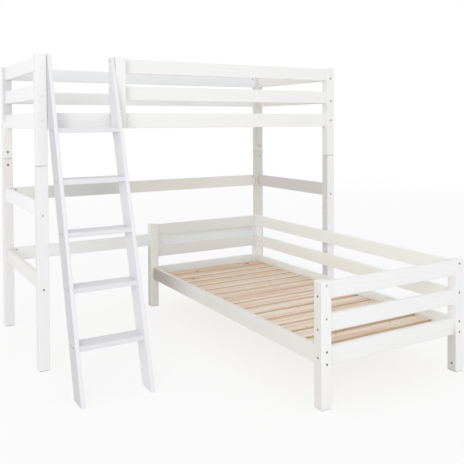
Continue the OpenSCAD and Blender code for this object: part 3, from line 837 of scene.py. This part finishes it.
def solid(name, points, faces, material):
    """A smooth closed mesh that rides on the bed, with its faces turned outwards."""
    mesh = bpy.data.meshes.new(name)
    mesh.from_pydata(points.tolist(), [], faces)
    mesh.materials.append(material)
    piece = bpy.data.objects.new(name, mesh)
    scene.collection.objects.link(piece)
    bpy.context.view_layer.objects.active = piece
    piece.select_set(True)
    bpy.ops.object.mode_set(mode="EDIT")
    bpy.ops.mesh.select_all(action="SELECT")
    bpy.ops.mesh.normals_make_consistent(inside=False)
    bpy.ops.object.mode_set(mode="OBJECT")
    bpy.ops.object.shade_smooth_by_angle(angle=SMOOTH_ANGLE)
    piece.select_set(False)
    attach(piece, "root")
    return piece


def lay_slats(name, node, axis, across_axis, sides, material):
    """One mesh of eased boards in place of a packed group of slats.

    Board n is cupped by CUP times a part that goes between CUP_LEAST and 1 with the squared sine of n turns.
    """
    low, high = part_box(node)
    length, thickness = high[axis] - low[axis], high[2] - low[2]
    points, faces = [], []
    for number, (first, last) in enumerate(sides):
        cup = CUP * (CUP_LEAST + (1 - CUP_LEAST) * math.sin(number * CUP_TURN) ** 2)
        board = eased_board(length, last - first, thickness, cup)
        laid = np.empty(board.shape)
        laid[..., across_axis] = board[..., 0] + (first + last) / 2
        laid[..., 2] = board[..., 1] + (low[2] + high[2]) / 2
        laid[..., axis] = board[..., 2] + low[axis]
        offset = sum(len(group) for group in points)
        points.append(laid.reshape(-1, 3))
        faces += [[index + offset for index in face] for face in tube_faces(*board.shape[:2])]
    piece = solid(name, np.concatenate(points), faces, material)
    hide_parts(node)
    return piece


for name, node, axis, across_axis in SLATS:
    sides = slat_sides(node, axis, across_axis)
    pitch = sides[1][0] - sides[0][0]
    gap = sides[1][0] - sides[0][1]
    log_start = sides[0][0] - gap / 2  # each log's share of the bed starts half a gap before its slat
    wood = bare_pine(name.replace("slats", "pine"), axis, across_axis, log_start, pitch, pitch - gap)
    piece = lay_slats(name, node, axis, across_axis, sides, wood)
    print(name, "boards:", len(sides), "gap:", round(float(gap), 4), "faces:", len(piece.data.polygons))

# %% [markdown]
# ## Ledgers and dowels
#
# The ledger strips are the same pine, cut as long sticks, so their grain turns with them. A bed's two strips
# come from one log. The dowels are beech: pale brown with short dark flecks, and no rings at this size. They
# could share the pine, but its rings are too wide for a dowel.

# %% Ledgers and dowels
LEDGERS = [
    ("pine_ledgers_raised_bed", "loft_slat_ledgers", 0, 1),
    ("pine_ledgers_lower_bed", "low_slat_ledgers", 1, 0),
]  # name of the pine, the node, and the axes along and across its strips
NO_SAWN_EDGE = 2.0  # a board's width in metres that no strip reaches
FLECK = (0.004, 0.0007)  # length of a fleck along x and y, and its height, in metres
FLECK_EDGES = (0.35, 0.75)
BEECH = (0.62, 0.44, 0.28)
BEECH_FLECK = (0.43, 0.27, 0.15)
BEECH_ROUGHNESS = (0.5, 0.15)  # the least, and what the flecks add to it
BEECH_DEPTH = 0.0001


def beech(name):
    """Beech: flecks are noise that is about six times longer along x and y than in height."""
    finish = new_finish(name)
    x, y, z = place(finish)
    length, height = FLECK
    flecks = noise(finish, (x / length, y / length, z / height), *FIBRE_DETAIL)
    colour = mix(finish, step(finish, flecks, *FLECK_EDGES), BEECH, BEECH_FLECK)
    least, on_flecks = BEECH_ROUGHNESS
    return surface(finish, colour, least + flecks * on_flecks, flecks, BEECH_DEPTH)


for name, node, axis, across_axis in LEDGERS:
    low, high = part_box(node)
    bed_width = high[across_axis] - low[across_axis]
    wear(node, bare_pine(name, axis, across_axis, low[across_axis], bed_width, NO_SAWN_EDGE))
    print(node, "length:", round(float(high[axis] - low[axis]), 3))
wear("rail_dowels", beech("beech_dowels"))

# %% [markdown]
# ## Bolts, nuts and screws
#
# Some heads are pale in the photograph or can't be seen in it, so they are touched up with the bed's paint:
# the bolts of the front left corner and of the far left post, and the nuts of the lower bed and of the back
# right post. A separate piece of paint on each head could do it, but a mask in the material needs only the
# box that the posts take up.

# %% Boxes round the touched up heads
ROUND_A_POST = 0.005  # how far a bolt's head may stand out of its post, in metres
EVERYWHERE = (-1.0, 0.0)  # heights between which touch-up paint goes from none to full, below the floor
FRONT_LEFT = (0.3, 1.3)  # the same for the front left corner, where it grows with the height


def space_of(first, last):
    """The lowest and highest corner of the space that two nodes take up together, and a little round it."""
    boxes = np.array([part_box(first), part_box(last)])
    return boxes[:, 0].min(0) - ROUND_A_POST, boxes[:, 1].max(0) + ROUND_A_POST


def inside(finish, box):
    """1 inside a box, else 0: on each axis, the distance from its middle is less than half its length."""
    within = []
    for wire, low, high in zip(place(finish), *box):
        distance = (wire - float(low + high) / 2).maths("ABSOLUTE")
        within.append(distance.maths("LESS_THAN", float(high - low) / 2))
    return within[0] * within[1] * within[2]


front_left = space_of("leg_front_left", "loft_post_front_left")
far_left = space_of("low_post_far_left", "low_post_far_left")
lower_bed = space_of("low_post_near_left", "low_post_far_right")
back_right = space_of("leg_back_right", "loft_post_back_right")
print("front left corner, from:", front_left[0].round(3).tolist(), "to:", front_left[1].round(3).tolist())

# %% [markdown]
# Most of them are steel with a dull zinc coat, in drilled recesses, so they look darker than they are. The
# screws of the ladder and the nuts at the joints are near black, as the photograph shows: a black coating,
# with the painted shade of their recesses in it. A metal is told by its reflection, so its fine blotches go
# into its roughness as well as into its colour.

# %% Steel
ZINC = (0.38, 0.37, 0.355)
# near black: a black coating, and painted shade of the recesses
BLACK_AND_RECESS_SHADE = (0.045, 0.043, 0.040)
METAL = 1.0  # a bare metal reflects in its own colour,
COATING = 0.0  # a black oxide coating doesn't
CRYSTAL = 0.0022  # size of the zinc's crystals, in metres
CRYSTAL_DARKEST = 0.72  # darkest crystal, as a part of the steel's tone
TURNING = 0.0006  # size of the turning marks, in metres
STEEL_ROUGHNESS = (0.32, 0.14, 0.12)  # the least, and what the crystals and the marks add to it
STEEL_DEPTH = 0.00005  # height of the marks, in metres
TOUCH_UP_MOST = 0.93


def steel(name, tone, metallic, touched=()):
    """Coated steel: small crystals from a cell pattern, and fine turning marks from noise.

    Touched lists boxes, each with two heights: the heads in a box were touched up with the bed's paint, none
    of it at the first height and most at the second.
    """
    finish = new_finish(name)
    x, y, z = place(finish)
    cells = {"Vector": vector(finish, x / CRYSTAL, y / CRYSTAL, z / CRYSTAL), "Scale": 1.0}
    crystals = finish.add("ShaderNodeTexVoronoi", {"feature": "F1"}, cells, "Color")
    crystals = finish.add("ShaderNodeRGBToBW", inputs={0: crystals})
    marks = noise(finish, (x / TURNING, y / TURNING, z / TURNING))
    colour = mix(finish, crystals, darker(tone, CRYSTAL_DARKEST), tone)
    least, on_crystals, on_marks = STEEL_ROUGHNESS
    roughness = least + crystals * on_crystals + marks * on_marks
    for box, heights in touched:
        paint = inside(finish, box) * step(finish, z, *heights) * TOUCH_UP_MOST
        colour = mix(finish, paint, colour, BED_WHITE)
        metallic = (1.0 - paint) * metallic
    return surface(finish, colour, roughness, marks, STEEL_DEPTH, metallic=metallic)


hardware = [node for node, slot in slot_of.items() if slot == "steel"]
zinc = steel("zinc_plated_steel", ZINC, METAL)
black_and_recess_shade = steel("black_steel_and_recess_shade", BLACK_AND_RECESS_SHADE, COATING)
bolt_touches = [(front_left, FRONT_LEFT), (far_left, EVERYWHERE)]
STEEL_OF = {
    "rail_bolts": steel("touched_up_bolts", ZINC, METAL, bolt_touches),
    "rail_barrel_nuts": steel("touched_up_nuts", ZINC, METAL, [(lower_bed, EVERYWHERE)]),
    "stacking_barrel_nuts": steel("black_nuts_and_recess_shade", BLACK_AND_RECESS_SHADE, COATING, [(back_right, EVERYWHERE)]),
    "tread_screws": black_and_recess_shade,
    "ladder_top_screws": black_and_recess_shade,
}
for node in hardware:
    wear(node, STEEL_OF.get(node, zinc))
print("hardware nodes:", len(hardware), "steels:", len({*STEEL_OF.values(), zinc}))

# %% [markdown]
# ## Floor, backdrop and light
#
# A catalogue picture of white furniture has a white ground that fades into the backdrop. More light would
# burn the paint out, so the ground is made pale for the camera alone: where a camera ray meets it, most of
# what it sends back is plain white, and the rest is the floor's own lit colour, which keeps the shadow.

# %% The floor
FLOOR_SIZE = 60.0  # metres along each side
FLOOR_TONES = ((0.90, 0.90, 0.90), (0.92, 0.92, 0.92))
FLOOR_SPECKLE = 0.05  # size of the speckles between the two, in metres
FLOOR_WHITE = 0.76  # share of plain white in what the camera sees of the floor near the bed
FLOOR_FADE = (3.0, 14.0)  # distances from the bed between which that share grows to all of it


def seen_directly(finish):
    """1 where a ray comes from the camera, a reflection or a clear material, else 0."""
    kinds = ("Is Camera Ray", "Is Glossy Ray", "Is Transmission Ray")
    camera, glossy, clear = [finish.add("ShaderNodeLightPath", output=kind) for kind in kinds]
    return (camera + glossy + clear).maths("MINIMUM", 1.0)


def pale_floor(name):
    """A matt pale floor that looks nearly white to the camera and keeps the bed's shadow."""
    finish = new_finish(name)
    x, y, z = place(finish)
    speckle = noise(finish, (x / FLOOR_SPECKLE, y / FLOOR_SPECKLE, z), detail=3.0)
    colour = mix(finish, speckle, *FLOOR_TONES)
    far = step(finish, (x * x + y * y).maths("SQRT"), *FLOOR_FADE)
    matt = finish.add("ShaderNodeBsdfDiffuse", inputs={"Color": colour})
    white = finish.add("ShaderNodeEmission", inputs={"Color": WHITE, "Strength": 1.0})
    share = seen_directly(finish) * (FLOOR_WHITE + far * (1 - FLOOR_WHITE))
    return finish.shade(finish.add("ShaderNodeMixShader", inputs={0: share, 1: matt, 2: white}))


half = FLOOR_SIZE / 2
corners = [(-half, -half, 0.0), (half, -half, 0.0), (half, half, 0.0), (-half, half, 0.0)]
floor_mesh = bpy.data.meshes.new("floor")
floor_mesh.from_pydata(corners, [], [(0, 1, 2, 3)])
floor_mesh.materials.append(pale_floor("pale_floor"))
floor = bpy.data.objects.new("floor", floor_mesh)
scene.collection.objects.link(floor)
print("floor:", FLOOR_SIZE, "m wide")

# %% [markdown]
# The light is one large soft lamp in front, high on the left, and an even sky. The sky alone would leave the
# bed without form. The far end of the bed is farther from the lamp than the near one, so it gets less of its
# light, as in the photograph, where the far rails are greyer. The sky shows plain white to the camera and to
# gloss, whatever its light.

# %% Lamps and sky
SKY = 0.86  # strength of the even light from all sides
KEY_WATTS = 175.0
KEY_SIZE = 3.0  # metres along each side of the lamp
KEY_PLACE = Vector((-5.6, -6.6, 3.4))
KEY_AIM = Vector((-0.2, -0.2, 0.9))


def soft_lamp(name, where, aim, watts, size):
    """A square white lamp that shines from one point towards another."""
    lamp = bpy.data.lights.new(name, "AREA")
    lamp.energy = watts
    lamp.size = size
    holder = bpy.data.objects.new(name, lamp)
    holder.location = where
    holder.rotation_euler = (aim - where).to_track_quat("-Z", "Y").to_euler()
    scene.collection.objects.link(holder)


def even_sky(name, strength):
    """A world that lights with an even white sky of that strength, and looks plain white itself."""
    sky = Finish(bpy.data.worlds.new(name))
    seen_strength = seen_directly(sky) * (1 - strength) + strength
    background = sky.add("ShaderNodeBackground", inputs={"Color": WHITE, "Strength": seen_strength})
    return sky.shade(background, "ShaderNodeOutputWorld")


scene.world = even_sky("sky", SKY)
soft_lamp("key_lamp", KEY_PLACE, KEY_AIM, KEY_WATTS, KEY_SIZE)
scene.view_settings.view_transform = "Standard"
print("lamp to bed:", round((KEY_AIM - KEY_PLACE).length, 2), "m")

# %% [markdown]
# ## The camera
#
# The photograph was taken from about the height of the upper slats, thirty degrees round from the front.
# Fitting its lens, place and turn to sixty corners of the beds gave the values below. The picture was
# cropped after it was taken, so its optical middle lies above the middle of the frame; Blender's lens shift
# stands for that crop.

# %% Camera
PHOTO = 464  # pixels along each side of the photograph
FOCAL = 637.8  # focal length, in those pixels
OPTICAL_MIDDLE = (230.1, 138.5)
SENSOR = 36.0  # millimetres
CAMERA_PLACE = Vector((-1.8944, -3.4584, 1.3728))
YAW = math.radians(30.316)
PITCH = math.radians(1.360)
ROLL = math.radians(0.287)


def camera_turn(yaw, pitch, roll):
    """A turn that looks along +Y when all angles are 0: yaw to the right, pitch down, roll clockwise."""
    forward = Vector((math.sin(yaw) * math.cos(pitch), math.cos(yaw) * math.cos(pitch), -math.sin(pitch)))
    level_right = Vector((math.cos(yaw), -math.sin(yaw), 0.0))
    level_down = forward.cross(level_right)
    right = level_right * math.cos(roll) + level_down * math.sin(roll)
    down = level_down * math.cos(roll) - level_right * math.sin(roll)
    return Matrix((right, -down, -forward)).transposed().to_euler()


lens = bpy.data.cameras.new("camera")
lens.sensor_width = SENSOR
lens.lens = SENSOR * FOCAL / PHOTO
lens.shift_x = (PHOTO / 2 - OPTICAL_MIDDLE[0]) / PHOTO
lens.shift_y = (OPTICAL_MIDDLE[1] - PHOTO / 2) / PHOTO
camera = bpy.data.objects.new("camera", lens)
camera.location = CAMERA_PLACE
camera.rotation_euler = camera_turn(YAW, PITCH, ROLL)
scene.collection.objects.link(camera)
scene.camera = camera
print("lens:", round(lens.lens, 2), "shift:", round(lens.shift_x, 4), round(lens.shift_y, 4))

# %% [markdown]
